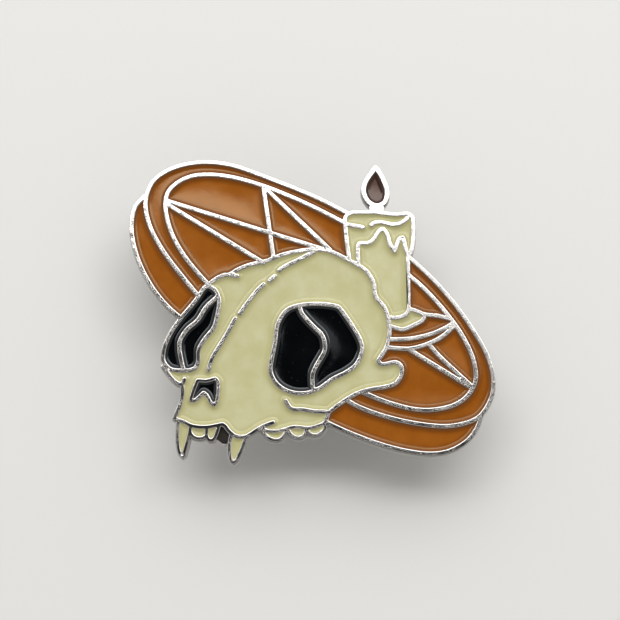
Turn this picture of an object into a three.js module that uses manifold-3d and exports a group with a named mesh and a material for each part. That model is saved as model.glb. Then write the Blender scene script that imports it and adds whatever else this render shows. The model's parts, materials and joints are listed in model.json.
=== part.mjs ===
// A soft-enamel lapel pin: a die-struck metal plate with raised lines, an enamel fill in each cell between
// them, and two posts on the back, each with a butterfly clutch.
// Millimetres. The pin lies face up: +X is the design's right, +Y its top, +Z out of its face. z = 0 is the
// lowest point of the clutches' wings, on which the pin stands.
import * as THREE from "three";
import { mergeVertices } from "three/addons/utils/BufferGeometryUtils.js";
import Module from "manifold-3d";

const wasm = await Module();
wasm.setup();

// ---- Driving dimensions ----

// The plate, from its back up
const BACK_Z = 6.6;
const BASE_THICKNESS = 1.05;
const LINE_HEIGHT = 0.45;
const FLOOR_Z = BACK_Z + BASE_THICKNESS;
const TOP_Z = FLOOR_Z + LINE_HEIGHT;

// The raised lines, and how far the plate's edge lies beyond the middle of its outermost lines
const LINE = 0.44;
const FINE_LINE = 0.38;
const FLAME_LINE = 0.5;
const EDGE_BAND = 0.6;

// The enamel stands this far below the line tops, and clear of the metal by the gap
const ENAMEL_BELOW_TOP = 0.13;
const GAP = 0.028;

// The drawing's own origin, moved so that the middle of the plate lies on the part's Z axis
const DRAWING_SHIFT = [0.3666, -0.62];

// How far a facet may lie from a drawn curve, the smallest step left in an outline, the smallest area left
// in a fill, the facets of a round line end and the steps that a curve is first drawn in
const CHORD = 0.025;
const TIDY = 0.01;
const LEAST_AREA = 0.01;
const CAP_FACETS = 5;
const CURVE_STEPS = 160;

// The posts and clutches
const POST_PLACES = { left: -7.6, right: 7 };
const POST_Y = -0.3;
const POST_RADIUS = 0.55;
const POST_LENGTH = 6;
const FLANGE_RADIUS = 1.3;
const FLANGE_THICKNESS = 0.3;
const TIP_LENGTH = 0.9;
const GROOVE_DEPTH = 0.12;
const DISC_RADIUS = 5.2;
const DISC_TOP = -0.12;
const SHEET = 0.32;
const WING_WIDTH = 4.2;

// ---- Materials ----

const METAL = { color: 0xcfcac2, roughness: 0.22, metalness: 1 };
const BRIGHT_METAL = { color: 0xd8d5cf, roughness: 0.18, metalness: 1 };
const ORANGE = { color: 0x965416, roughness: 0.2, metalness: 0 };
const CREAM = { color: 0xc4bf8a, roughness: 0.2, metalness: 0 };
const BLACK = { color: 0x050608, roughness: 0.12, metalness: 0 };
const BROWN = { color: 0x46281e, roughness: 0.2, metalness: 0 };

// ---- The drawing: points in millimetres, smooth curves through the fewest points that give their shape ----

const stroke = (points, width = LINE) => ({ points, width, closed: false });
const loop = (points, width = LINE) => ({ points, width, closed: true });

// The round board: its rim, the ring inside the rim, and the two stretches of its thick side that show
const rimLeft = [
  [-12.1, 2.05], [-14.08, 4.47], [-15.9, 6.93], [-17.33, 9.6], [-17.85, 12.2], [-17.1, 14.45],
  [-15.2, 15.85], [-12.2, 16.57], [-8.95, 16.3], [-5, 14.88], [0, 12.82], [3.6, 10.95],
];
const rimRight = [
  [9.9, 6.3], [11.85, 4.45], [13.8, 2.3], [15.8, -0.4], [17.95, -4.2], [18.55, -6.8], [18.24, -8.76],
  [16.85, -10.72], [14.5, -11.52], [12.6, -11.58], [8.8, -10.98], [5, -9.78], [3.5, -9],
];
const ringLeft = [
  [-11.15, 3.35], [-12.8, 5.25], [-14.08, 7.02], [-15.01, 8.8], [-15.56, 10.58], [-15.73, 12.19],
  [-15.43, 13.37], [-14.42, 14.39], [-12.89, 15.08], [-11, 15.22], [-9, 15], [-6, 14.2], [-3, 13.03],
  [0, 11.64], [3.2, 9.95],
];
const ringRight = [
  [9.9, 4.3], [11, 3.35], [12.9, 1.33], [14.66, -0.95], [15.8, -2.88], [16.58, -4.92], [16.7, -6.86],
  [15.95, -8.32], [14.52, -9.38], [12.05, -9.93], [9.95, -9.78], [7, -8.92], [4.85, -8.02],
];
const sideLeft = [
  [-17.95, 12.85], [-18.91, 11.68], [-19.26, 10.07], [-19.16, 8.37], [-18.44, 5.83], [-16.96, 3],
  [-15.35, 1], [-13.95, -0.25],
];
const sideBelow = [
  [1.3, -11.2], [3, -12], [6, -13.19], [9, -14.05], [12, -14.44], [14, -14.1], [15.76, -13.05],
  [16.71, -11.81], [17.3, -10.3],
];

// The star scratched in the board
const starLines = [
  stroke([[-15.6, 12.35], [1, 7.05]]),
  stroke([[-15.5, 11.93], [-5.3, 5.6]]),
  stroke([[-5.38, 13.95], [-4.25, 6.1]]),
  stroke([[-4.95, 13.5], [1.7, 6.98]]),
  stroke([[-5.15, 13.62], [-5.05, 13.47]], 0.75),
  stroke([[7.85, -2.58], [10.12, -2.47], [12.16, -2.01], [13.18, -1.6], [14.41, -0.94]]),
  stroke([[7.5, -3.42], [9.92, -3.54], [11.55, -3.13], [13.18, -2.37], [14.51, -1.24]]),
  stroke([[10, -3.7], [16.35, -7.7]]),
  stroke([[11.95, -3.1], [12.78, -4.1], [14.2, -5.45], [16.3, -7.5]]),
  stroke([[9.9, 0.68], [10.53, 0.49], [11.55, 0.08], [12.9, -0.07], [14.2, -0.4]]),
];

// The candle: its sides, foot, top, the line of its molten wax with the drips, and the pool at its foot
const candleLeft = [
  [3.7, 6], [3.53, 7.25], [3.31, 9.54], [3.27, 10.22], [3.4, 10.64], [3.74, 10.94], [4.2, 11.07],
];
const candleTop = [[4.2, 11.07], [6.66, 11.07], [8.44, 10.86], [9.88, 10.94]];
const candleLip = [[9.88, 10.94], [10.35, 10.64], [10.47, 10.05], [10.43, 7.85], [10.14, 6.58], [9.88, 6.24]];
const candleRight = [[9.88, 6.24], [9.9, 3.96], [9.87, 0.49]];
const candleFoot = [[9.87, 0.49], [9.61, 0.08], [9.1, -0.17], [8.49, -0.28], [7.85, -0.22]];
const puddleEdge = [
  [7.85, -1.15], [8.49, -1.35], [9.31, -1.5], [10.53, -0.94], [11.14, -0.68], [11.45, -0.33], [11.45, 0.08],
];
const waxLines = [
  stroke([[6.07, 9.71], [6.49, 9.97], [7.08, 10], [8.44, 9.75], [9.03, 9.84], [9.54, 10.14], [9.97, 10.56]]),
  stroke([[3.35, 9.78], [4.12, 9.63], [5.14, 9.46]]),
  stroke([
    [4.67, 5.3], [4.64, 7], [4.71, 7.59], [4.97, 7.76], [5.56, 7.72], [6.07, 7.93], [6.49, 8.44],
    [6.92, 9.08], [7.25, 9.25], [7.59, 8.95], [8.1, 7.42], [8.5, 6.87],
  ]),
  stroke([[8.5, 6.87], [8.78, 7.59], [9.03, 8.19], [9.33, 8.31], [9.5, 7.85], [9.63, 7.25], [9.88, 6.4]]),
];

// The flame, and the thick wick under it, drawn as two strokes side by side
const flameLeft = [[6.56, 16], [5.85, 15], [5.4, 14.2], [5.27, 13.4], [5.45, 12.7], [5.9, 12.1], [6.6, 11.8]];
const flameRight = [[6.6, 11.8], [7.3, 12], [7.7, 12.6], [7.75, 13.4], [7.5, 14.3], [7.1, 15.2], [6.56, 16]];
const wickSides = [[[6.26, 11.27], [6.26, 11.62]], [[7.02, 11.27], [7.02, 11.62]]];
const WICK_SIDE = 0.8;

// The skull: brow, crown and back of the head, then the snout, the gums and the short strokes of its surface
const brow = [[-11.15, 3.2], [-10.52, 3.71], [-9.5, 4.26], [-8.9, 4.32], [-8.05, 4.18]];
const crown = [
  [-8.9, 4.32], [-8.48, 4.6], [-7, 5.3], [-5, 5.79], [-3.59, 6.38], [-1.9, 6.81], [0.05, 7.05],
  [1.58, 6.89], [3.02, 6.21], [5.43, 4.78], [6.24, 3.45], [6.45, 2.02], [7.37, 0.8], [7.78, -0.53],
  [7.83, -2.16], [7.47, -3.49], [6.7, -4.71],
];
const headBack = [
  [6.7, -4.71], [6.78, -5.07], [7.17, -5.18], [7.87, -5.04], [8.5, -4.98], [8.97, -5.3], [9.1, -5.87],
  [8.9, -6.57], [8.43, -7.14], [7.76, -7.43], [5.95, -7.76], [4.58, -8.14], [3.31, -8.86], [1.95, -9.79],
  [1.53, -10.17], [1.23, -11.02], [1.16, -11.44],
];
const snout = [
  [-15.66, -5.42], [-14.98, -6.27], [-14.56, -6.78], [-14.05, -7.2], [-13.63, -7.2], [-13.4, -6.72],
];
const muzzle = [[-13.63, -7.25], [-13.58, -8.14], [-13.84, -9.49], [-14.09, -10.08], [-14.35, -10.85]];
const gumFront = [
  [-14.35, -10.85], [-13.54, -11.1], [-12.53, -11.57], [-11, -11.69], [-9.73, -11.44], [-9.39, -11.4],
  [-8.97, -11.78], [-8.54, -12.29], [-8.03, -12.63], [-7.53, -12.71], [-7, -12.67], [-6.51, -12.37],
  [-5.32, -11.65], [-4.2, -11.22],
];
const gumBack = [
  [-5.35, -11.9], [-5, -12.03], [-3.98, -12.14], [-2.71, -11.82], [-2.03, -11.67], [-0.76, -11.78],
  [-0.25, -11.74], [0.34, -11.57], [0.93, -11.31], [1.2, -11.1],
];
const skullStrokes = [
  stroke([[0, 6.8], [-1.56, 5.96], [-3.25, 5.1], [-3.64, 4.77]]),
  stroke([[-4.1, 4.18], [-4.65, 3.67]]),
  stroke([[-5.29, 3.29], [-5.97, 2.61], [-7.07, 1.17], [-7.75, 0.15]]),
  stroke([[-8.23, -0.36], [-9.08, -1.97], [-10.18, -3.83], [-10.6, -4.59], [-10.94, -5.82]]),
  stroke([[1.35, -10.15], [0.08, -10.08], [-1.36, -9.87], [-2.03, -9.87], [-2.46, -9.66], [-2.92, -8.98]]),
];

// The eye sockets, each with the line that divides it
const leftEye = [
  [-11.26, 3.08], [-12.37, 1.59], [-13.98, -0.44], [-14.91, -1.88], [-15.54, -3.41], [-15.63, -4.76],
  [-14.99, -5.61], [-14.32, -5.82], [-12.96, -5.82], [-12.37, -5.61], [-12.03, -5.02], [-11.94, -3.58],
  [-11.26, -2.39], [-10.42, -1.29], [-10.08, 0.15], [-9.91, 1.59], [-10.33, 2.65], [-10.76, 2.97],
];
const leftEyeDivider = [
  [-10.13, 1.95], [-11.29, 0.83], [-12.06, -0.44], [-13.24, -1.54], [-13.96, -2.81], [-13.88, -4.17],
  [-13.5, -5.8],
];
const rightEye = [
  [-2.07, 0.92], [0, 1.21], [2, 1.04], [2.59, 0.83], [3.61, -0.61], [4.63, -2.22], [5.02, -3.5],
  [4.45, -5.1], [3.31, -6.02], [1.95, -6.69], [0.59, -7.67], [-0.76, -8.18], [-2.37, -8.09],
  [-3.81, -7.25], [-4.5, -5.9], [-4.36, -4.51], [-4.02, -2.64], [-3.81, -1.03], [-3, 0.41],
];
const rightEyeDivider = [
  [-1.55, 1], [-1.22, 0.15], [-0.12, -1.12], [0.9, -2.22], [1.11, -3.66], [0.39, -5.02], [-0.13, -6.19],
  [-0.13, -7.46], [0, -7.97],
];

// The nose opening: a flat top, two sides and a notch between its lobes
const noseSides = [
  [[-12.05, -6.85], [-11.1, -6.88], [-10.2, -6.65]],
  [[-10.2, -6.65], [-9.92, -7], [-9.92, -8.2], [-10.05, -9.1], [-10.3, -9.45]],
  [[-10.3, -9.45], [-10.65, -9.15], [-11, -8.5], [-11.4, -8.15]],
  [[-11.4, -8.15], [-11.8, -8.5], [-12.3, -8.95], [-12.7, -8.95]],
  [[-12.7, -8.95], [-12.65, -8.6], [-12.3, -7.6], [-12.05, -6.85]],
];

// The teeth, each drawn from one end of its gum to the other
const canineLeft = [
  [-13.97, -11.05], [-14.03, -12.2], [-14, -13.05], [-13.88, -13.9], [-13.68, -14.45], [-13.44, -14.66],
  [-13.28, -14.25], [-13.12, -13.55], [-12.75, -12.12], [-12.66, -11.6],
];
const incisorLeft = [
  [-12.72, -12.1], [-12.58, -12.42], [-12.25, -12.74], [-11.76, -12.86], [-11.36, -12.78], [-11.02, -12.55],
];
const incisorDivider = [[-11.02, -11.7], [-11.02, -12.55]];
const incisorRight = [
  [-11.02, -12.55], [-10.8, -12.98], [-10.5, -13.05], [-10.2, -12.78], [-9.78, -11.6],
];
const canineRight = [
  [-8.45, -12.35], [-8.63, -13.14], [-8.68, -13.81], [-8.62, -14.49], [-8.5, -15], [-8.25, -15.3],
  [-7.96, -15.1], [-7.76, -14.7], [-7.5, -14.1], [-7.2, -13.4], [-6.95, -12.6],
];
const molarFront = [
  [-5.45, -11.85], [-4.98, -12.5], [-4.55, -12.86], [-3.98, -13.02], [-3.42, -12.9], [-3.08, -12.5],
  [-2.72, -11.85],
];
const molarMiddle = [
  [-2.68, -11.95], [-2.35, -12.45], [-1.95, -12.71], [-1.53, -12.78], [-1.13, -12.63], [-0.88, -12.3],
  [-0.78, -11.8],
];
const molarRear = [
  [-0.76, -11.95], [-0.4, -12.4], [0, -12.53], [0.48, -12.42], [0.86, -12.17], [1.1, -11.82], [1.13, -11.44],
];
const toothGap = [
  [-9.6, -11.6], [-9.22, -11.7], [-8.6, -12.4], [-8.8, -13.2], [-9.15, -13.62], [-10.1, -13],
];

const boardLines = [rimLeft, rimRight, ringLeft, ringRight, sideLeft, sideBelow].map((p) => stroke(p));
const candleLines = [
  candleLeft, candleTop, candleLip, candleRight, candleFoot, puddleEdge,
].map((p) => stroke(p));
const flameLines = [flameLeft, flameRight].map((p) => stroke(p, FLAME_LINE));
const skullLines = [brow, crown, headBack, snout, muzzle, gumFront].map((p) => stroke(p));
const eyeLines = [loop(leftEye), stroke(leftEyeDivider), loop(rightEye), stroke(rightEyeDivider)];
const noseLines = noseSides.map((p) => stroke(p, FINE_LINE));
const toothLines = [
  gumBack, canineLeft, incisorLeft, incisorDivider, incisorRight, canineRight, molarFront, molarMiddle,
  molarRear,
].map((p) => stroke(p, FINE_LINE));

const LINES = [
  ...boardLines, ...starLines, ...candleLines, ...waxLines, ...flameLines, ...skullLines, ...skullStrokes,
  ...eyeLines, ...noseLines, ...toothLines, ...wickSides.map((p) => stroke(p, WICK_SIDE)),
];

// Each region is a ring of curves. Together they cover the plate, and the outer lines widen it to its edge.
const reversed = (points) => [...points].reverse();
const REGIONS = {
  board: [rimLeft, rimRight],
  boardSideLeft: [sideLeft, rimLeft.slice(0, 5)],
  boardSideBelow: [sideBelow, rimRight.slice(7), [[1, -10]]],
  candle: [candleLeft, candleTop, candleLip, candleRight, candleFoot, [[6, 2]]],
  puddle: [[[7, 0], [9.87, 0.6], [11.4, 0.1]], reversed(puddleEdge)],
  flame: [flameLeft, flameRight],
  skull: [
    reversed(leftEye.slice(0, 6)), brow.slice(0, 3), crown, headBack.slice(0, -1),
    reversed(gumBack.slice(0, -1)), reversed(gumFront.slice(0, -1)), reversed(muzzle),
    reversed(snout.slice(0, 4)),
  ],
  canineLeft: [canineLeft],
  incisors: [incisorLeft, incisorRight, [[-10, -11.4], [-12.6, -11.5]]],
  canineRight: [canineRight],
  molarFront: [molarFront],
  molarMiddle: [molarMiddle],
  molarRear: [molarRear],
};

// Each enamel fill: its colour and a point that lies in its cell
const CELLS = {
  enamel_board_edge_left: [ORANGE, -17.2, 6.5],
  enamel_board_edge_below: [ORANGE, 9, -12.5],
  enamel_board_rim_left: [ORANGE, -16.8, 11.5],
  enamel_board_rim_right: [ORANGE, 17.6, -6],
  enamel_star_arc_top: [ORANGE, -10, 13],
  enamel_star_ray_left: [ORANGE, -8, 8.7],
  enamel_star_arc_left: [ORANGE, -12, 7],
  enamel_star_sliver: [ORANGE, -3.5, 7.2],
  enamel_star_triangle_middle: [ORANGE, -3.5, 10.5],
  enamel_star_arc_candle: [ORANGE, 1, 9.5],
  enamel_star_triangle_candle: [ORANGE, 10.8, 1.8],
  enamel_star_ray_puddle: [ORANGE, 12.5, -1],
  enamel_star_ray_thin: [ORANGE, 9.5, -3],
  enamel_star_triangle_right: [ORANGE, 15, -4],
  enamel_star_needle: [ORANGE, 12, -4.2],
  enamel_board_field_below: [ORANGE, 11, -7],
  enamel_skull: [CREAM, -6, -3],
  enamel_canine_left: [CREAM, -13.6, -12.6],
  enamel_incisor_left: [CREAM, -11.8, -12.3],
  enamel_incisor_right: [CREAM, -10.5, -12.2],
  enamel_canine_right: [CREAM, -8.1, -13.7],
  enamel_molar_front: [CREAM, -4, -12.5],
  enamel_molar_middle: [CREAM, -1.6, -12.2],
  enamel_molar_rear: [CREAM, 0.2, -12.05],
  enamel_candle_wax: [CREAM, 4.2, 8.5],
  enamel_candle_body: [CREAM, 7.5, 4],
  enamel_candle_puddle: [CREAM, 9.5, -0.7],
  enamel_eye_left_outer: [BLACK, -14.5, -3],
  enamel_eye_left_inner: [BLACK, -12.8, -3],
  enamel_eye_right_front: [BLACK, -2, -3],
  enamel_eye_right_rear: [BLACK, 2.5, -2.5],
  enamel_nose: [BLACK, -11.2, -7.4],
  enamel_flame: [BROWN, 6.5, 13.5],
};

// ---- Curves and outlines ----

// The points of a polyline that are needed to keep it within CHORD of itself
function thinned(points) {
  const [first, last] = [points[0], points.at(-1)];
  const chord = new THREE.Line3(first, last);
  const nearest = new THREE.Vector3();
  const offsets = points.map((p) => chord.closestPointToPoint(p, true, nearest).distanceTo(p));
  const worst = offsets.indexOf(Math.max(...offsets));
  if (offsets[worst] <= CHORD) return [first, last];
  return [...thinned(points.slice(0, worst + 1)), ...thinned(points.slice(worst)).slice(1)];
}

// A smooth curve through the points. A closed one doesn't repeat its first point.
function drawn(points, closed = false) {
  const through = points.map(([x, y]) => new THREE.Vector3(x, y, 0));
  if (through.length < 3) return through;
  const fine = new THREE.CatmullRomCurve3(through, closed, "centripetal").getPoints(CURVE_STEPS);
  if (!closed) return thinned(fine);
  const half = CURVE_STEPS / 2;
  return [...thinned(fine.slice(0, half + 1)), ...thinned(fine.slice(half)).slice(1, -1)];
}

// The path moved sideways by `offset` (to its left), each corner mitred
function beside(path, closed, offset) {
  return path.map((point, i) => {
    const before = path[closed ? (i + path.length - 1) % path.length : Math.max(i - 1, 0)];
    const after = path[closed ? (i + 1) % path.length : Math.min(i + 1, path.length - 1)];
    const into = before === point ? null : point.clone().sub(before).normalize();
    const out = after === point ? into : after.clone().sub(point).normalize();
    const along = (into ?? out).clone().add(out).normalize();
    const mitre = along.dot(out);
    return new THREE.Vector2(point.x - (along.y * offset) / mitre, point.y + (along.x * offset) / mitre);
  });
}

// A round end of radius `radius` about `centre`, turning clockwise from the direction `from`
function cap(centre, from, radius) {
  return Array.from({ length: CAP_FACETS - 1 }, (_, i) => {
    const angle = from - (Math.PI * (i + 1)) / CAP_FACETS;
    return new THREE.Vector2(centre.x + radius * Math.cos(angle), centre.y + radius * Math.sin(angle));
  });
}

// The outline of a line drawn along the path with a round pen
function ribbon(path, closed, width) {
  const half = width / 2;
  const left = beside(path, closed, half);
  const right = beside(path, closed, -half);
  if (closed) {
    const clockwise = THREE.ShapeUtils.isClockWise(path);
    const [outer, inner] = clockwise ? [left.reverse(), right.reverse()] : [right, left];
    const shape = new THREE.Shape(outer);
    shape.holes.push(new THREE.Path(inner));
    return shape;
  }
  const heading = (a, b) => Math.atan2(b.y - a.y, b.x - a.x);
  const endCap = cap(path.at(-1), heading(path.at(-2), path.at(-1)) + Math.PI / 2, half);
  const startCap = cap(path[0], heading(path[0], path[1]) - Math.PI / 2, half);
  return new THREE.Shape([...left, ...endCap, ...right.reverse(), ...startCap]);
}

// ---- Solids ----

function solid(geometry) {
  const bare = new THREE.BufferGeometry().setAttribute("position", geometry.getAttribute("position"));
  if (geometry.index) bare.setIndex(geometry.index);
  const merged = mergeVertices(bare);
  const vertProperties = merged.getAttribute("position").array;
  const triVerts = new Uint32Array(merged.index.array);
  return new wasm.Manifold(new wasm.Mesh({ numProp: 3, vertProperties, triVerts }));
}

const joined = (solids) => wasm.Manifold.union(solids);

// The same body with the coplanar facets that joining and cutting leave merged, no point moved by over TIDY
const tidied = (body) => body.asOriginal().simplify(TIDY);

// A shape of the drawing as an upright wall between two heights, moved to its place on the part
function upright(shape, low, high) {
  const wall = new THREE.ExtrudeGeometry(shape, { depth: high - low, bevelEnabled: false });
  return wall.translate(...DRAWING_SHIFT, low);
}

function lineSolids(extraWidth, low, high, leastWidth = 0) {
  return LINES.map(({ points, closed, width }) => {
    const pen = Math.max(width + extraWidth, leastWidth);
    return solid(upright(ribbon(drawn(points, closed), closed, pen), low, high));
  });
}

function regionSolids(low, high) {
  return Object.values(REGIONS).map((curves) => {
    const outline = curves.flatMap((points) => drawn(points));
    return solid(upright(new THREE.Shape(outline), low, high));
  });
}

function mesh(name, geometry, material) {
  const made = new THREE.Mesh(geometry, new THREE.MeshStandardMaterial(material));
  made.name = name;
  return made;
}

function meshOf(name, body, material) {
  const { vertProperties, triVerts } = body.getMesh();
  const geometry = new THREE.BufferGeometry();
  geometry.setAttribute("position", new THREE.BufferAttribute(vertProperties, 3));
  geometry.setIndex(new THREE.BufferAttribute(triVerts, 1));
  return mesh(name, geometry, material);
}

// ---- The struck plate: its base, cut to the outline, with the raised lines standing on it ----

function makePlate() {
  const gap = solid(upright(new THREE.Shape(drawn(toothGap)), BACK_Z, FLOOR_Z));
  const edge = lineSolids(0, BACK_Z, FLOOR_Z, EDGE_BAND);
  const base = tidied(joined([...regionSolids(BACK_Z, FLOOR_Z), ...edge, gap]));
  const lines = tidied(joined(lineSolids(0, BACK_Z, TOP_Z)));
  return meshOf("struck_plate", tidied(base.add(lines)), METAL);
}

// ---- The enamel: what the lines leave of a sheet over the plate, one piece in each cell ----

// Does the point lie under one of the body's faces, seen from above?
function covers(body, x, y) {
  const { vertProperties, triVerts } = body.getMesh();
  const corner = (i) => {
    const first = 3 * triVerts[i];
    return new THREE.Vector3(vertProperties[first], vertProperties[first + 1], 0);
  };
  const point = new THREE.Vector3(x, y, 0);
  for (let i = 0; i < triVerts.length; i += 3) {
    const face = new THREE.Triangle(corner(i), corner(i + 1), corner(i + 2));
    if (face.getArea() > 1e-9 && face.containsPoint(point)) return true;
  }
  return false;
}

// From each vertex on the rim of the body's top face, the vertices that the rim goes on to
function topRim(triVerts, isTop) {
  const sides = new Map();
  for (let i = 0; i < triVerts.length; i += 3) {
    const face = [triVerts[i], triVerts[i + 1], triVerts[i + 2]];
    if (!face.every(isTop)) continue;
    face.forEach((from, k) => sides.set(`${from},${face[(k + 1) % 3]}`, [from, face[(k + 1) % 3]]));
  }
  const rim = new Map();
  for (const [from, to] of sides.values()) {
    if (!sides.has(`${to},${from}`)) rim.set(from, [...(rim.get(from) ?? []), to]);
  }
  return rim;
}

// The rim's closed rings of vertices. Where it touches itself, the ring made so far is split off.
function rings(rim) {
  const found = [];
  for (const start of rim.keys()) {
    const walked = [];
    for (let i = start; rim.get(i).length > 0;) {
      walked.push(i);
      i = rim.get(i).pop();
      if (walked.includes(i)) found.push(walked.splice(walked.indexOf(i)));
    }
  }
  return found;
}

// The outlines of the body's top face at height `top`, without steps under TIDY or rings under LEAST_AREA
function topOutlines(body, top) {
  const { vertProperties, triVerts } = body.getMesh();
  const place = (i) => new THREE.Vector2(vertProperties[3 * i], vertProperties[3 * i + 1]);
  const rim = topRim(triVerts, (i) => Math.abs(vertProperties[3 * i + 2] - top) < GAP / 2);
  const outlines = rings(rim).map((ring) => {
    const points = ring.map(place);
    return points.filter((point, i) => point.distanceTo(points.at(i - 1)) > TIDY);
  });
  return outlines.filter((outline) => Math.abs(THREE.ShapeUtils.area(outline)) > LEAST_AREA);
}

// The fill remade as an upright piece, so that its top and bottom have the same outline
function straightened(body, low, high) {
  const outlines = topOutlines(body, high);
  const shape = new THREE.Shape(outlines.find((outline) => !THREE.ShapeUtils.isClockWise(outline)));
  const holes = outlines.filter((outline) => THREE.ShapeUtils.isClockWise(outline));
  shape.holes.push(...holes.map((outline) => new THREE.Path(outline)));
  return new THREE.ExtrudeGeometry(shape, { depth: high - low, bevelEnabled: false }).translate(0, 0, low);
}

function makeEnamel() {
  const low = FLOOR_Z + GAP;
  const high = TOP_Z - ENAMEL_BELOW_TOP;
  const sheet = joined(regionSolids(low, high));
  const fills = tidied(sheet.subtract(joined(lineSolids(2 * GAP, BACK_Z, TOP_Z)))).decompose();
  return Object.entries(CELLS).map(([name, [colour, x, y]]) => {
    const fill = fills.find((body) => covers(body, x + DRAWING_SHIFT[0], y + DRAWING_SHIFT[1]));
    if (!fill) throw new Error(`no cell holds the point of ${name}`);
    return mesh(name, straightened(fill, low, high), colour);
  });
}

// ---- The posts and clutches, each about its post's axis, with z = 0 at the plate's back ----

const FINE_TURN = 16;
const DISC_TURN = 28;
const lathe = (profile, facets) => new THREE.LatheGeometry(
  profile.map(([r, z]) => new THREE.Vector2(r, z)), facets,
).rotateX(Math.PI / 2);

// A post: its soldered flange, a shank with a groove near the end, and a point
function makePost(name) {
  const shankEnd = TIP_LENGTH - POST_LENGTH;
  const grooved = POST_RADIUS - GROOVE_DEPTH;
  const profile = [
    [0, -POST_LENGTH], [0.12, -POST_LENGTH], [POST_RADIUS, shankEnd], [POST_RADIUS, shankEnd + 0.35],
    [grooved, shankEnd + 0.47], [grooved, shankEnd + 0.77], [POST_RADIUS, shankEnd + 0.89],
    [POST_RADIUS, -FLANGE_THICKNESS], [FLANGE_RADIUS, -FLANGE_THICKNESS], [FLANGE_RADIUS, -GAP], [0, -GAP],
  ];
  return mesh(name, lathe(profile, FINE_TURN), BRIGHT_METAL);
}

// A clutch's disc: a pressed sheet with a rolled rim, and a funnel that guides the post into its hole
const FUNNEL_BOTTOM = -1.25;
const HOLE_RADIUS = 0.75;
function makeDisc(name) {
  const underside = DISC_TOP - SHEET;
  const profile = [
    [HOLE_RADIUS, FUNNEL_BOTTOM], [1.3, FUNNEL_BOTTOM], [2.1, underside], [DISC_RADIUS - 0.45, underside],
    [DISC_RADIUS - SHEET, underside - 0.12], [DISC_RADIUS - SHEET, underside - 0.5],
    [DISC_RADIUS, underside - 0.5], [DISC_RADIUS, DISC_TOP - 0.25], [DISC_RADIUS - 0.1, DISC_TOP - 0.08],
    [DISC_RADIUS - 0.28, DISC_TOP], [1.75, DISC_TOP], [1.1, FUNNEL_BOTTOM + SHEET],
    [HOLE_RADIUS, FUNNEL_BOTTOM + SHEET], [HOLE_RADIUS, FUNNEL_BOTTOM],
  ];
  return mesh(name, lathe(profile, DISC_TURN), BRIGHT_METAL);
}

// A clutch's bridge: a bent strap over the jaws, with its feet on the disc and a hole for the post
const BRIDGE_HALF_LENGTH = 1.9;
const BRIDGE_DROP = 3.5;
function makeBridge(name) {
  const foot = DISC_TOP - SHEET - GAP;
  const inner = WING_WIDTH / 2 + 0.25;
  const outer = inner + SHEET;
  const toe = outer + 0.85;
  const strap = new THREE.Shape();
  strap.moveTo(inner, foot);
  [
    [toe, foot], [toe, foot - SHEET], [outer, foot - SHEET], [outer, -BRIDGE_DROP], [-outer, -BRIDGE_DROP],
    [-outer, foot - SHEET], [-toe, foot - SHEET], [-toe, foot], [-inner, foot], [-inner, SHEET - BRIDGE_DROP],
    [inner, SHEET - BRIDGE_DROP],
  ].forEach(([y, z]) => strap.lineTo(y, z));
  const length = 2 * BRIDGE_HALF_LENGTH;
  const bent = new THREE.ExtrudeGeometry(strap, { depth: length, bevelEnabled: false });
  bent.translate(0, 0, -BRIDGE_HALF_LENGTH).rotateX(Math.PI / 2).rotateZ(Math.PI / 2);
  const hole = new THREE.CylinderGeometry(HOLE_RADIUS, HOLE_RADIUS, 3 * SHEET, FINE_TURN).rotateX(Math.PI / 2);
  hole.translate(0, 0, SHEET / 2 - BRIDGE_DROP);
  return meshOf(name, solid(bent).subtract(solid(hole)), BRIGHT_METAL);
}

// A clutch's wing, a springy strip: its jaw by the post, the bend it flexes about, and the curled thumb piece
const WING_PATH = [
  [0.78, -1.95], [1.5, -2.2], [2.3, -2.75], [3.2, -3.15], [3.62, -4], [3.66, -5.1], [4.05, -6],
  [4.7, -6.42], [5.2, -6.4],
];
function makeWing(name, side) {
  const path = drawn(WING_PATH.map(([x, z]) => [side * x, z]));
  const settings = { depth: WING_WIDTH, bevelEnabled: false };
  const strip = new THREE.ExtrudeGeometry(ribbon(path, false, SHEET), settings);
  return mesh(name, strip.translate(0, 0, -WING_WIDTH / 2).rotateX(Math.PI / 2), BRIGHT_METAL);
}

function makeFastening(side) {
  const group = new THREE.Group();
  group.add(makePost(`post_${side}`));
  group.add(makeDisc(`clutch_${side}_disc`));
  group.add(makeBridge(`clutch_${side}_bridge`));
  group.add(makeWing(`clutch_${side}_wing_outer`, side === "left" ? -1 : 1));
  group.add(makeWing(`clutch_${side}_wing_inner`, side === "left" ? 1 : -1));
  group.position.set(POST_PLACES[side], POST_Y, BACK_Z);
  return group;
}

const pin = new THREE.Group();
pin.add(makePlate(), ...makeEnamel(), makeFastening("left"), makeFastening("right"));
export default pin;
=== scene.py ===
"""The enamel pin in a soft-lit studio, seen at the photo's angle.

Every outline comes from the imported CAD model: the tops of the plate's raised lines, the plate's own edge,
and the top of each enamel fill. Here they get what casting and polishing give the real pin: rounded line
shoulders, an enamel surface that climbs the walls of its cell, solder at the posts, and rolled edges on the
clutches.
"""

import json
import math

import bpy
import numpy as np
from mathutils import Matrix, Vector, kdtree
from mathutils.geometry import delaunay_2d_cdt


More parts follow.
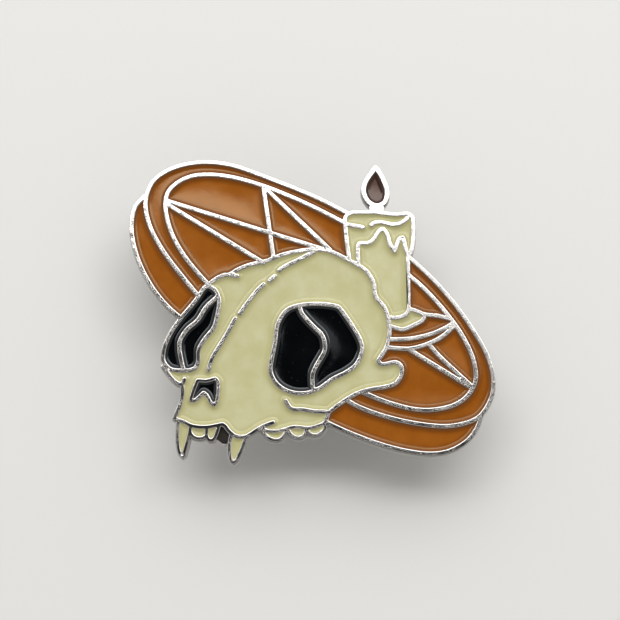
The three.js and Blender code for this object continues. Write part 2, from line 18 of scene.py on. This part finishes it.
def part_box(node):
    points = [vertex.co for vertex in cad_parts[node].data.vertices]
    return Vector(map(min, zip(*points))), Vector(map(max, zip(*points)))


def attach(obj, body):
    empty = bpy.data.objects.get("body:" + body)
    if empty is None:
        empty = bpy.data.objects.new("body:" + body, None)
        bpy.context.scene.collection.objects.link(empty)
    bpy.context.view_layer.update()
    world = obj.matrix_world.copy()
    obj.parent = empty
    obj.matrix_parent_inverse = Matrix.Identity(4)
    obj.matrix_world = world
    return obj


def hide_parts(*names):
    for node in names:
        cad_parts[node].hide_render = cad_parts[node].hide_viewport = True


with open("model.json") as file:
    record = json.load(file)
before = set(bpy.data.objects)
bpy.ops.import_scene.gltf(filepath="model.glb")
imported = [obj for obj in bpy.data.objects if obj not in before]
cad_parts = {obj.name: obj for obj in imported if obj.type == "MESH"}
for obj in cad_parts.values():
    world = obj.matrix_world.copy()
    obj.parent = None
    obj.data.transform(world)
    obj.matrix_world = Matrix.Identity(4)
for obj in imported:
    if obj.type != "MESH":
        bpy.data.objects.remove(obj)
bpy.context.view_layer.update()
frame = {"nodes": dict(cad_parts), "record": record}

MM = 0.001

# ---- Heights and sizes, in millimetres ----

lowest, highest = (np.array(corner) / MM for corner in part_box("struck_plate"))
BACK_Z = float(lowest[2])
TOP_Z = float(highest[2])
FILL_CLEARANCE = 0.028
FLOOR_Z = float(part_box("enamel_skull")[0][2]) / MM - FILL_CLEARANCE

# The plate: how round its edges are, how far its walls and rim reach, and the spacing of its mesh
LINE_SHOULDER = 0.065
EDGE_SHOULDER = 0.07
LINE_ROWS = (0.012, 0.03, 0.055, 0.09, 0.15)
LINE_GRID = 0.3
LINE_FOOT = FLOOR_Z - 0.3
SLAB_ROWS = (0.02, 0.045, 0.08)
SLAB_GRID = 1.2
BACK_ROLL = ((0.16, 0), (0.08, 0.015), (0.03, 0.05), (0, 0.12))
STEP_WIDTH = 0.14
INSIDE_BOX = 0.002

# The enamel: the level that it sinks to, a wide bowl, a tight curve up its walls, and the rows of its mesh
ENAMEL_LEVEL = TOP_Z - 0.335
BOWL_RISE = 0.07
BOWL_REACH = 0.9
WALL_CURVE = 0.5
WALL_REACH = 0.38
UNEVENNESS = 0.006
ENAMEL_OVERLAP = 0.05
ENAMEL_ROWS = (0.05, 0.11, 0.17, 0.23, 0.29, 0.34, 0.39, 0.44, 0.52, 0.68, 0.9)
ENAMEL_GRID = 0.45

# Outlines: turns sharper than CORNER stay sharp, points lie about STEP apart, and a facet bulges by its
# length times at most BULGE
CORNER = math.radians(40)
STEP = 0.1
BULGE = 0.12
SHORTEST = 0.02


# ---- Outlines taken from the CAD model ----

def rim_edges(node, z, facing):
    """The directed edges that bound a node's faces at height z that face up (1) or down (-1), and how many
    times each occurs. A vertex is its x and y to the nearest micrometre."""
    mesh = frame["nodes"][node].data
    points = np.array([v.co for v in mesh.vertices]) / MM
    keys = [tuple(row[:2]) for row in np.round(points, 3)]
    edges = {}
    for face in mesh.polygons:
        if face.normal.z * facing < 0.99 or max(abs(points[i][2] - z) for i in face.vertices) > 0.004:
            continue
        ring = [keys[i] for i in face.vertices]
        for a, b in zip(ring, ring[1:] + ring[:1]):
            if a == b:
                continue
            if (b, a) in edges:
                edges[(b, a)] -= 1
                if not edges[(b, a)]:
                    del edges[(b, a)]
            else:
                edges[(a, b)] = edges.get((a, b), 0) + 1
    return edges


def flat_loops(node, z, facing):
    """The closed outlines of a node's faces that lie at height z and face up (1) or down (-1), as xy rows."""
    onward = {}
    for (a, b), count in rim_edges(node, z, facing).items():
        onward.setdefault(a, []).extend([b] * count)
    loops = []
    while onward:
        start = next(iter(onward))
        ring = [start]
        here = start
        while True:
            there = onward[here].pop()
            if not onward[here]:
                del onward[here]
            if there == start or there not in onward:
                break
            ring.append(there)
            here = there
        if len(ring) > 2:
            loops.append(np.array(ring))
    return loops


def turned_by(a, b):
    """The angle from direction a to direction b, positive to the left."""
    return math.atan2(a[0] * b[1] - a[1] * b[0], a[0] * b[0] + a[1] * b[1])


def smoothed(loop):
    """The loop with its facets rounded off between its corners, as points about STEP apart."""
    kept = [loop[0]]
    for point in loop[1:]:
        if np.hypot(*(point - kept[-1])) > SHORTEST:
            kept.append(point)
    points = np.array(kept)
    chords = np.roll(points, -1, axis=0) - points
    lengths = np.hypot(chords[:, 0], chords[:, 1])
    headings = np.arctan2(chords[:, 1], chords[:, 0])
    count = len(points)
    leaving, arriving = np.array(headings), np.array(headings)
    for i in range(count):
        before = i - 1
        turn = turned_by(chords[before], chords[i])
        if abs(turn) > CORNER:
            continue
        share = turn * lengths[before] / (lengths[before] + lengths[i])
        most_before, most_after = BULGE / lengths[before], BULGE / lengths[i]
        share = max(-most_before, min(most_before, share))
        rest = max(-most_after, min(most_after, turn - share))
        share = turn - rest
        arriving[before] = headings[before] + share
        leaving[i] = headings[i] - rest
    out = []
    for i in range(count):
        start, end, length = points[i], points[(i + 1) % count], lengths[i]
        t = np.arange(max(1, math.ceil(length / STEP))) / max(1, math.ceil(length / STEP))
        t = t[:, None]
        go = length * np.array([math.cos(leaving[i]), math.sin(leaving[i])])
        come = length * np.array([math.cos(arriving[i]), math.sin(arriving[i])])
        out.append(
            (2 * t**3 - 3 * t**2 + 1) * start + (t**3 - 2 * t**2 + t) * go
            + (3 * t**2 - 2 * t**3) * end + (t**3 - t**2) * come
        )
    return np.vstack(out)


def beside(loop, offset):
    """The loop's points moved to its left, which is the inside of an outline, by the offset."""
    along = np.roll(loop, -1, axis=0) - np.roll(loop, 1, axis=0)
    along /= np.maximum(np.hypot(along[:, 0], along[:, 1]), 1e-9)[:, None]
    return loop + offset * np.stack([-along[:, 1], along[:, 0]], axis=1)


def tree_of(loops):
    """For the distance from a point to the nearest outline."""
    dense = np.vstack([
        loop + (np.roll(loop, -1, axis=0) - loop) * part for loop in loops for part in (0, 0.25, 0.5, 0.75)
    ])
    tree = kdtree.KDTree(len(dense))
    for i, (x, y) in enumerate(dense):
        tree.insert((x, y, 0), i)
    tree.balance()
    return tree


def distances(tree, points):
    return np.array([tree.find((x, y, 0))[2] for x, y in points])


def filled(loops, rings, grid):
    """A flat triangle mesh of what the outlines enclose, with rows of points at the ring distances inside
    them and a square grid beyond. Gives its points, its triangles and each point's distance to an outline."""
    tree = tree_of(loops)
    rim = np.vstack(loops)
    constraints = []
    first = 0
    for loop in loops:
        n = len(loop)
        constraints += [(first + i, first + (i + 1) % n) for i in range(n)]
        first += n
    inner = []
    for depth in rings:
        row = np.vstack([beside(loop, depth) for loop in loops])
        if depth > 0.6:
            row = row[::2]
        inner.append(row[distances(tree, row) > 0.93 * depth])
    low, high = rim.min(axis=0), rim.max(axis=0)
    xs, ys = (np.arange(a + grid / 2, b, grid) for a, b in zip(low, high))
    field = np.array(np.meshgrid(xs, ys)).reshape(2, -1).T
    if len(field):
        inner.append(field[distances(tree, field) > max(rings) + grid / 3])
    everything = np.vstack([rim, *inner])
    made = delaunay_2d_cdt([Vector(p) for p in everything], constraints, [], 0, 1e-5)
    points = np.array([tuple(v) for v in made[0]])
    triangles = made[2]
    walls = {tuple(sorted(made[1][i])) for i, source in enumerate(made[4]) if source}
    return points, enclosed(triangles, walls), distances(tree, points)


def enclosed(triangles, walls):
    """The triangles that an odd number of outlines part from the outside."""
    users = {}
    for i, (a, b, c) in enumerate(triangles):
        for edge in ((a, b), (b, c), (c, a)):
            users.setdefault(tuple(sorted(edge)), []).append(i)
    side = {}
    queue = []
    for edge, faces in users.items():
        if len(faces) == 1 and faces[0] not in side:
            side[faces[0]] = edge in walls
            queue.append(faces[0])
    while queue:
        here = queue.pop()
        a, b, c = triangles[here]
        for edge in ((a, b), (b, c), (c, a)):
            edge = tuple(sorted(edge))
            for there in users[edge]:
                if there not in side:
                    side[there] = side[here] != (edge in walls)
                    queue.append(there)
    return [t for i, t in enumerate(triangles) if side.get(i)]


# ---- Meshes ----

def new_piece(name, points, faces, wall_distance=None, smooth=True):
    """A mesh object from points in millimetres. Faces keep their order; unused points are dropped."""
    points = np.asarray(points, float)
    used = sorted({i for face in faces for i in face})
    place = {old: new for new, old in enumerate(used)}
    mesh = bpy.data.meshes.new(name)
    mesh.from_pydata((points[used] * MM).tolist(), [], [[place[i] for i in face] for face in faces])
    if wall_distance is not None:
        layer = mesh.attributes.new("wall_distance", "FLOAT", "POINT")
        layer.data.foreach_set("value", np.asarray(wall_distance, np.float32)[used])
    mesh.validate()
    for polygon in mesh.polygons:
        polygon.use_smooth = smooth
    piece = bpy.data.objects.new(name, mesh)
    bpy.context.scene.collection.objects.link(piece)
    return piece


def cut_edges(triangles):
    """The directed edges of a flat mesh that only one of its triangles has: its rim."""
    seen = set()
    for a, b, c in triangles:
        seen |= {(a, b), (b, c), (c, a)}
    return [(a, b) for a, b in seen if (b, a) not in seen]


def walled(points, heights, triangles, levels):
    """A solid: the flat mesh raised to its heights, walls from its rim down through the levels, each
    (z, inset), and a flat underside. An inset moves the wall's row inwards."""
    top = np.column_stack([points, heights])
    rows = [top]
    rim = cut_edges(triangles)
    onward, backward = {}, {}
    for a, b in rim:
        onward.setdefault(a, b)
        backward.setdefault(b, a)
    inward = np.zeros_like(points)
    for a in onward:
        if a in backward:
            along = points[onward[a]] - points[backward[a]]
            size = math.hypot(*along)
            if size > 1e-9:
                inward[a] = np.array([-along[1], along[0]]) / size
    count = len(points)
    faces = [tuple(t) for t in triangles]
    for i, (z, inset) in enumerate(levels):
        rows.append(np.column_stack([points + inward * inset, np.full(count, z)]))
        upper, lower = i * count, (i + 1) * count
        faces += [(lower + a, lower + b, upper + b, upper + a) for a, b in rim]
    base = len(levels) * count
    faces += [(base + c, base + b, base + a) for a, b, c in triangles]
    return np.vstack(rows), faces


def facing_up(points, triangles):
    """The triangles, all wound so that they face up."""
    out = []
    for a, b, c in triangles:
        ab, ac = points[b] - points[a], points[c] - points[a]
        out.append((a, b, c) if ab[0] * ac[1] - ab[1] * ac[0] > 0 else (a, c, b))
    return out


def rounded(depth, radius):
    """How far a quarter-round shoulder lies below its top, that far in from its edge."""
    reach = np.clip(radius - depth, 0, radius)
    return radius - np.sqrt(radius**2 - reach**2)


def within_box(loop):
    """The outline, kept inside the CAD plate's box."""
    return np.clip(loop, lowest[:2] + INSIDE_BOX, highest[:2] - INSIDE_BOX)


def make_plate():
    """The raised lines standing in the slab, as one mesh. Its attribute wall_distance is the distance to the
    slab's edge on the slab's top, 0 on its side and back, and 1 on the lines."""
    lines = [within_box(smoothed(loop)) for loop in flat_loops("struck_plate", TOP_Z, 1)]
    points, triangles, depth = filled(lines, LINE_ROWS, LINE_GRID)
    triangles = facing_up(points, triangles)
    heights = TOP_Z - rounded(depth, LINE_SHOULDER)
    body, faces = walled(points, heights, triangles, [(TOP_Z - 0.2, 0), (LINE_FOOT, 0)])

    outline = [within_box(smoothed(loop))[::-1] for loop in flat_loops("struck_plate", BACK_Z, -1)]
    points, triangles, depth = filled(outline, SLAB_ROWS, SLAB_GRID)
    triangles = facing_up(points, triangles)
    heights = FLOOR_Z - rounded(depth, EDGE_SHOULDER)
    side = [(BACK_Z + rise, inset) for rise, inset in BACK_ROLL]
    slab, slab_faces = walled(points, heights, triangles, side)
    shift = len(body)
    faces += [tuple(shift + i for i in face) for face in slab_faces]
    from_edge = np.concatenate([np.ones(shift), depth, np.zeros(len(slab) - len(depth))])
    return new_piece("plate_struck", np.vstack([body, slab]), faces, from_edge)


def meniscus(points, triangles, fixed, reach):
    """The height of a liquid's surface over each point, from 1 where it is held at the walls (fixed) down
    towards 0 in the middle, by the meniscus equation: its curvature is its height over the reach squared.
    The equation is solved by conjugate gradients."""
    corners = np.array(triangles)
    count = len(points)
    weights, ends = [], []
    mass = np.zeros(count)
    for turn in range(3):
        a, b, c = (corners[:, (turn + k) % 3] for k in range(3))
        ca, cb = points[a] - points[c], points[b] - points[c]
        cross = np.abs(ca[:, 0] * cb[:, 1] - ca[:, 1] * cb[:, 0])
        weights.append(0.5 * np.sum(ca * cb, axis=1) / np.maximum(cross, 1e-7))
        ends.append(np.stack([a, b]))
        mass += np.bincount(c, cross / 6, count)
    weight = np.concatenate(weights)
    one, other = np.hstack(ends)
    diagonal = np.bincount(one, weight, count) + np.bincount(other, weight, count) + mass / reach**2
    free = ~fixed

    def pull(u):
        shared = np.bincount(one, weight * u[other], count) + np.bincount(other, weight * u[one], count)
        return diagonal * u - shared

    u = fixed.astype(float)
    rest = -pull(u) * free
    scale = np.where(np.abs(diagonal) > 1e-9, 1 / np.maximum(np.abs(diagonal), 1e-9), 1.0)
    step = scale * rest
    energy = rest @ step
    for _ in range(400):
        if energy < 1e-12:
            break
        pulled = pull(step) * free
        length = energy / (step @ pulled)
        u += length * step
        rest -= length * pulled
        better = scale * rest
        before, energy = energy, rest @ better
        step = better + energy / before * step
    return np.clip(u, 0, 1)


def swell(x, y, phase):
    """The slow unevenness that enamel sets with."""
    return 0.5 * np.sin(1.1 * x + 0.6 * y + phase) + 0.5 * np.sin(0.7 * y - 0.9 * x + 2.1 * phase)


def make_enamel(node, index):
    """One fill, a little wider than its cell so that it meets the walls. Its attribute wall_distance is the
    distance to the nearest wall."""
    top = float(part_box(node)[1][2]) / MM
    loops = [beside(smoothed(loop), -ENAMEL_OVERLAP) for loop in flat_loops(node, top, 1)]
    points, triangles, depth = filled(loops, ENAMEL_ROWS, ENAMEL_GRID)
    triangles = facing_up(points, triangles)
    inside = np.maximum(depth - ENAMEL_OVERLAP, 0)
    bowl = meniscus(points, triangles, depth < 1e-4, BOWL_REACH)
    climb = np.maximum(WALL_REACH - inside, 0)
    heights = ENAMEL_LEVEL + BOWL_RISE * bowl + WALL_CURVE - np.sqrt(WALL_CURVE**2 - climb**2)
    heights += UNEVENNESS * swell(points[:, 0], points[:, 1], 1.7 * index) * (1 - bowl)
    body, faces = walled(points, heights, triangles, [(FLOOR_Z + 0.01, 0)])
    name = node.replace("enamel_", "fill_")
    return new_piece(name, body, faces, np.concatenate([inside, inside]))


def lathed(name, profile, centre, segments=96):
    """A turned body: profile rows are (radius, z below the plate's back), centre its axis."""
    points, faces = [], []
    for r, z in profile:
        for k in range(segments):
            a = 2 * math.pi * k / segments
            points.append((centre[0] + r * math.cos(a), centre[1] + r * math.sin(a), BACK_Z + z))
    for i in range(len(profile) - 1):
        for k in range(segments):
            n = (k + 1) % segments
            a, b = i * segments, (i + 1) * segments
            faces.append((a + k, a + n, b + n, b + k))
    return new_piece(name, points, faces)


# ---- Materials ----

class Shader:
    """A short way to write a material's nodes."""

    def __init__(self, name):
        self.material = bpy.data.materials.new(name)
        self.material.use_nodes = True
        self.tree = self.material.node_tree
        self.tree.nodes.clear()
        self.out = self.add("ShaderNodeOutputMaterial")
        self.surface = self.add("ShaderNodeBsdfPrincipled")
        self.link(self.surface.outputs[0], self.out.inputs[0])
        coordinates = self.add("ShaderNodeTexCoord")
        scale = self.add("ShaderNodeVectorMath", operation="SCALE")
        scale.inputs["Scale"].default_value = 1 / MM
        self.link(coordinates.outputs["Object"], scale.inputs[0])
        self.place = scale.outputs[0]

    def add(self, kind, **settings):
        node = self.tree.nodes.new(kind)
        for key, value in settings.items():
            setattr(node, key, value)
        return node

    def link(self, source, target):
        self.tree.links.new(source, target)

    def set(self, **values):
        for key, value in values.items():
            self.surface.inputs[key.replace("_", " ")].default_value = value

    def noise(self, per_mm, detail=2.0, roughness=0.5):
        node = self.add("ShaderNodeTexNoise")
        node.inputs["Scale"].default_value = per_mm
        node.inputs["Detail"].default_value = detail
        node.inputs["Roughness"].default_value = roughness
        self.link(self.place, node.inputs["Vector"])
        return node.outputs["Fac"]

    def cells(self, per_mm):
        node = self.add("ShaderNodeTexVoronoi")
        node.inputs["Scale"].default_value = per_mm
        self.link(self.place, node.inputs["Vector"])
        return node.outputs["Distance"]

    def between(self, source, low, high, out_low=0.0, out_high=1.0):
        node = self.add("ShaderNodeMapRange")
        for i, value in enumerate((low, high, out_low, out_high)):
            node.inputs[i + 1].default_value = value
        self.link(source, node.inputs[0])
        return node.outputs[0]

    def mix(self, amount, first, second):
        node = self.add("ShaderNodeMix", data_type="RGBA")
        for slot, value in ((6, first), (7, second)):
            if isinstance(value, tuple):
                node.inputs[slot].default_value = (*value, 1)
            else:
                self.link(value, node.inputs[slot])
        self.link(amount, node.inputs[0])
        return node.outputs[2]

    def math(self, operation, first, second):
        node = self.add("ShaderNodeMath", operation=operation)
        for slot, value in enumerate((first, second)):
            if isinstance(value, (int, float)):
                node.inputs[slot].default_value = value
            else:
                self.link(value, node.inputs[slot])
        return node.outputs[0]

    def bump(self, height, distance_mm, strength=1.0):
        node = self.add("ShaderNodeBump")
        node.inputs["Strength"].default_value = strength
        node.inputs["Distance"].default_value = distance_mm * MM
        self.link(height, node.inputs["Height"])
        if self.surface.inputs["Normal"].links:
            self.link(self.surface.inputs["Normal"].links[0].from_socket, node.inputs["Normal"])
        self.link(node.outputs[0], self.surface.inputs["Normal"])

    def height(self):
        split = self.add("ShaderNodeSeparateXYZ")
        self.link(self.place, split.inputs[0])
        return split.outputs[2]

    def attribute(self, name):
        node = self.add("ShaderNodeAttribute", attribute_name=name)
        return node.outputs["Fac"]


def plate_material():
    """Bright nickel on the line tops, worn through to dark specks, painted near-black as shade on the line
    walls and the cell floors, and sand-textured on the floor and the back."""
    shader = Shader("nickel_plate")
    shader.set(Metallic=1.0)
    height = shader.height()
    polished = shader.between(height, TOP_Z - 0.075, TOP_Z - 0.02)
    behind = shader.between(height, BACK_Z + 0.75, BACK_Z + 0.2)
    mottle = shader.noise(3.0, 3.0)
    pale = shader.mix(mottle, (0.90, 0.88, 0.85), (0.80, 0.77, 0.73))
    specks = shader.between(shader.noise(9.0, 3.0, 0.6), 0.55, 0.64)
    worn = shader.between(shader.noise(0.45, 2.0), 0.36, 0.58, 0.15, 1.0)
    pits = shader.math("MULTIPLY", specks, worn)
    pale = shader.mix(pits, pale, (0.17, 0.14, 0.12))
    # Painted shade: the line walls and the cell floors, the bare recess included, get this near-black colour;
    # the outer step and the back are sanded instead.
    painted_wall_shade = shader.mix(mottle, (0.022, 0.019, 0.016), (0.055, 0.048, 0.042))
    sanded = shader.mix(mottle, (0.50, 0.485, 0.46), (0.60, 0.58, 0.55))
    step = shader.between(shader.attribute("wall_distance"), STEP_WIDTH, STEP_WIDTH - 0.03)
    low = shader.mix(shader.math("MAXIMUM", behind, step), painted_wall_shade, sanded)
    shader.link(shader.mix(polished, low, pale), shader.surface.inputs["Base Color"])
    blur = shader.between(polished, 0, 1, 0.42, 0.1)
    uneven = shader.between(mottle, 0.3, 0.7, 0, 0.05)
    shader.link(shader.math("ADD", blur, uneven), shader.surface.inputs["Roughness"])
    unpolished = shader.between(polished, 0, 1, 1.0, 0.05)
    sand = shader.math("MULTIPLY", shader.noise(9.0, 4.0, 0.65), unpolished)
    shader.bump(sand, 0.07)
    shader.bump(shader.math("MULTIPLY", pits, -1.0), 0.006)
    shader.bump(shader.noise(1.2, 2.0), 0.02)
    return shader.material


def fastening_material(name, colour, grain):
    """Plated spring metal, slightly mottled, with a fine grain of `grain` marks to the millimetre."""
    shader = Shader(name)
    shader.set(Metallic=1.0)
    mottle = shader.noise(2.0, 4.0)
    dark = tuple(0.82 * c for c in colour)
    shader.link(shader.mix(mottle, dark, colour), shader.surface.inputs["Base Color"])
    shader.link(shader.between(mottle, 0.3, 0.7, 0.16, 0.26), shader.surface.inputs["Roughness"])
    shader.bump(shader.noise(grain, 3.0), 0.006)
    return shader.material


def enamel_material(name, wall_shade, body, pale, shine, gloss):
    """Cast enamel: painted darker towards its walls as shade, with a few specks and burst bubbles."""
    shader = Shader(name)
    # Painted shade: the colour darkens to the wall shade colour at the walls and fades out 0.7 mm from them.
    out = shader.between(shader.attribute("wall_distance"), 0.0, 0.7)
    drift = shader.noise(0.55, 3.0)
    colour = shader.mix(shader.between(drift, 0.35, 0.68), body, pale)
    colour = shader.mix(out, wall_shade, colour)
    bubbles = shader.between(shader.cells(1.6), 0.035, 0.06)
    speck = tuple(0.55 * c for c in wall_shade)
    colour = shader.mix(shader.math("MAXIMUM", bubbles, 0.5), speck, colour)
    shader.link(colour, shader.surface.inputs["Base Color"])
    shader.set(IOR=1.52, Specular_Tint=(*shine, 1))
    shader.link(shader.between(drift, 0.3, 0.7, 0.8 * gloss, 1.2 * gloss), shader.surface.inputs["Roughness"])
    shader.bump(bubbles, 0.02, 0.6)
    shader.bump(shader.noise(2.5, 3.0), 0.002)
    return shader.material


def linear(*srgb):
    """A colour of 8-bit sRGB values as Blender's linear one."""
    return tuple(((c / 255 + 0.055) / 1.055) ** 2.4 if c > 10 else c / 255 / 12.92 for c in srgb)


# Each colour of enamel: painted shade at its walls, in its body, where it is paler, the tint of its shine,
# and its gloss
PIGMENTS = {
    "enamel_orange": ((112, 60, 15), (150, 84, 22), (160, 92, 28), (1, 0.86, 0.56), 0.09),
    "enamel_cream": ((187, 182, 129), (199, 195, 147), (208, 205, 164), (1, 0.99, 0.9), 0.09),
    "enamel_black": ((3, 4, 5), (5, 6, 8), (8, 9, 11), (0.9, 0.96, 1), 0.07),
    "enamel_brown": ((48, 26, 18), (70, 40, 30), (80, 48, 36), (1, 0.9, 0.82), 0.09),
}
ENAMELS = {
    name: enamel_material(name, linear(*wall_shade), linear(*body), linear(*pale), shine, gloss)
    for name, (wall_shade, body, pale, shine, gloss) in PIGMENTS.items()
}
PLATE = plate_material()
CLUTCH = fastening_material("nickel_brass", (0.80, 0.78, 0.74), 14.0)
POST = fastening_material("nickel_steel", (0.77, 0.76, 0.74), 20.0)


def finish_piece(piece, material, body, slot, *nodes):
    """Gives a piece its material and the CAD body that it rides on, and hides the CAD nodes it stands for.
    Its slot is not used.
    """
    piece.data.materials.clear()
    piece.data.materials.append(material)
    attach(piece, body)
    if nodes:
        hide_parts(*nodes)


# ---- The pin ----

finish_piece(make_plate(), PLATE, "pin", "plated_plate", "struck_plate")
slots = {row["node"]: row["material_slot"] for row in frame["record"]["subparts"]}
for index, node in enumerate(name for name in slots if name.startswith("enamel_")):
    finish_piece(make_enamel(node, index), ENAMELS[slots[node]], "pin", slots[node], node)


# ---- The posts and clutches: profiles are (radius, z below the plate's back) ----

def arc(centre, radius, start, end, steps=6):
    """Profile points round part of a circle, angles in degrees."""
    turns = np.radians(np.linspace(start, end, steps))
    return [(centre[0] + radius * math.cos(a), centre[1] + radius * math.sin(a)) for a in turns]


POST_PROFILE = [
    (0.0, -6.0), (0.1, -6.0), (0.14, -5.97), (0.52, -5.15), (0.55, -5.05), (0.55, -4.77), (0.53, -4.74),
    (0.44, -4.64), (0.43, -4.6), (0.43, -4.37), (0.44, -4.33), (0.53, -4.23), (0.55, -4.2), (0.55, -0.62),
    (0.58, -0.48), (0.66, -0.38), (0.78, -0.32), (1.1, -0.3), (1.22, -0.27), (1.28, -0.2), (1.3, -0.1),
    (1.3, 0.0),
]
SOLDER_PROFILE = [(1.2, 0.0), (1.2, -0.2), (1.32, -0.16), (1.42, -0.09), (1.6, -0.03), (1.8, 0.02)]
DISC_PROFILE = [
    (0.75, -0.95), (0.75, -1.22), (0.78, -1.25), (1.25, -1.25), (1.34, -1.21), (2.02, -0.52),
    (2.14, -0.45), (2.9, -0.44), *arc((3.25, -0.5), 0.12, 150, 30), (3.6, -0.44), (4.55, -0.44),
    (4.7, -0.46), (4.83, -0.53), (4.88, -0.64), (4.88, -0.88), *arc((5.04, -0.86), 0.16, 200, 350),
    (5.2, -0.4), *arc((4.96, -0.36), 0.24, 0, 80), (4.7, -0.12), (3.62, -0.12),
    *arc((3.25, -0.17), 0.12, 30, 150), (2.9, -0.12), (1.85, -0.12), (1.74, -0.15), (1.15, -0.88),
    (1.08, -0.93), (0.78, -0.93), (0.75, -0.95),
]
POST_FACETS = 48


def axis_of(node):
    """The x and y, in millimetres, of the middle of a node's box."""
    low, high = (np.array(corner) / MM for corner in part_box(node))
    return ((low[0] + high[0]) / 2, (low[1] + high[1]) / 2)


def finish_pressed_metal(node):
    """Softens the sheared edges of a clutch's CAD part and gives it the clutch's metal."""
    part = frame["nodes"][node]
    part.data.materials.clear()
    part.data.materials.append(CLUTCH)
    weld = part.modifiers.new("weld", "WELD")
    weld.merge_threshold = 0.002 * MM
    bevel = part.modifiers.new("bevel", "BEVEL")
    bevel.width = 0.07 * MM
    bevel.segments = 3
    bevel.limit_method = "ANGLE"
    bevel.angle_limit = math.radians(50)
    bevel.harden_normals = False


def make_fastening(side):
    """A post, its solder and its clutch's disc. The clutch's bridge and wings keep their CAD shapes."""
    centre = axis_of(f"post_{side}")
    post = lathed(f"pin_post_{side}", POST_PROFILE, centre, POST_FACETS)
    finish_piece(post, POST, "pin", "post_steel", f"post_{side}")
    solder = lathed(f"pin_solder_{side}", SOLDER_PROFILE, centre, POST_FACETS)
    finish_piece(solder, POST, "pin", "post_steel")
    disc = lathed(f"disc_{side}", DISC_PROFILE, centre)
    finish_piece(disc, CLUTCH, f"clutch_{side}", "clutch_metal", f"clutch_{side}_disc")
    for part in ("bridge", "wing_outer", "wing_inner"):
        finish_pressed_metal(f"clutch_{side}_{part}")


for side in ("left", "right"):
    make_fastening(side)

# ---- Floor, light and camera ----

FLOOR_HALF = 1.5
PANEL_HEIGHT = 0.6
CAMERA_TARGET = Vector((-0.050, -0.089, 8.1)) * MM
CAMERA_ELEVATION = math.radians(79)
CAMERA_DISTANCE = 146.1 * MM
FIELD_OF_VIEW = math.radians(24.97)
SENSOR = 36


def make_floor():
    mesh = bpy.data.meshes.new("studio_floor")
    corners = [(-1, -1), (1, -1), (1, 1), (-1, 1)]
    mesh.from_pydata([(x * FLOOR_HALF, y * FLOOR_HALF, 0) for x, y in corners], [], [(0, 1, 2, 3)])
    floor = bpy.data.objects.new("studio_floor", mesh)
    bpy.context.scene.collection.objects.link(floor)
    shader = Shader("floor_white")
    shader.set(Base_Color=(0.80, 0.795, 0.775, 1), Roughness=0.9)
    mesh.materials.append(shader.material)


def ceiling_panel(name, left, right, near, far, radiance):
    """A rectangular light of even brightness that hangs level at PANEL_HEIGHT and shines straight down."""
    light = bpy.data.lights.new(name, "AREA")
    light.shape = "RECTANGLE"
    light.size, light.size_y = right - left, far - near
    light.energy = radiance * light.size * light.size_y * math.pi
    lamp = bpy.data.objects.new(name, light)
    lamp.location = ((left + right) / 2, (near + far) / 2, PANEL_HEIGHT)
    bpy.context.scene.collection.objects.link(lamp)


def make_surroundings():
    """Even light from the sides, a little stronger from behind the pin's top, and dark straight above."""
    world = bpy.data.worlds.new("studio")
    bpy.context.scene.world = world
    world.use_nodes = True
    nodes, links = world.node_tree.nodes, world.node_tree.links
    direction = nodes.new("ShaderNodeTexCoord")
    split = nodes.new("ShaderNodeSeparateXYZ")
    links.new(direction.outputs["Generated"], split.inputs[0])
    strength = nodes.new("ShaderNodeMath")
    strength.operation = "MULTIPLY"
    ramps = ((1, (-0.3, 0.6, 0.55, 0.95)), (2, (0.74, 0.92, 1.0, 0.02)))
    for slot, (axis, values) in enumerate(ramps):
        ramp = nodes.new("ShaderNodeMapRange")
        ramp.interpolation_type = "SMOOTHSTEP"
        for i, value in enumerate(values):
            ramp.inputs[i + 1].default_value = value
        links.new(split.outputs[axis], ramp.inputs[0])
        links.new(ramp.outputs[0], strength.inputs[slot])
    links.new(strength.outputs[0], nodes["Background"].inputs[1])
    nodes["Background"].inputs[0].default_value = (1, 0.99, 0.97, 1)


def make_camera():
    away = Vector((0, -math.cos(CAMERA_ELEVATION), math.sin(CAMERA_ELEVATION))) * CAMERA_DISTANCE
    data = bpy.data.cameras.new("camera")
    data.sensor_width = SENSOR
    data.lens = SENSOR / 2 / math.tan(FIELD_OF_VIEW / 2)
    data.clip_start = 0.005
    data.clip_end = 10
    camera = bpy.data.objects.new("camera", data)
    camera.location = CAMERA_TARGET + away
    camera.rotation_euler = (-away).to_track_quat("-Z", "Y").to_euler()
    bpy.context.scene.collection.objects.link(camera)
    bpy.context.scene.camera = camera


make_floor()
ceiling_panel("key", -0.4, 0.5, 0.175, 0.4, 4.2)
ceiling_panel("behind_key", -0.4, 0.5, 0.4, 1.0, 1.0)
ceiling_panel("edge_of_key", 0.025, 0.5, 0.088, 0.175, 0.8)
make_surroundings()
make_camera()
bpy.context.scene.view_settings.view_transform = "Standard"
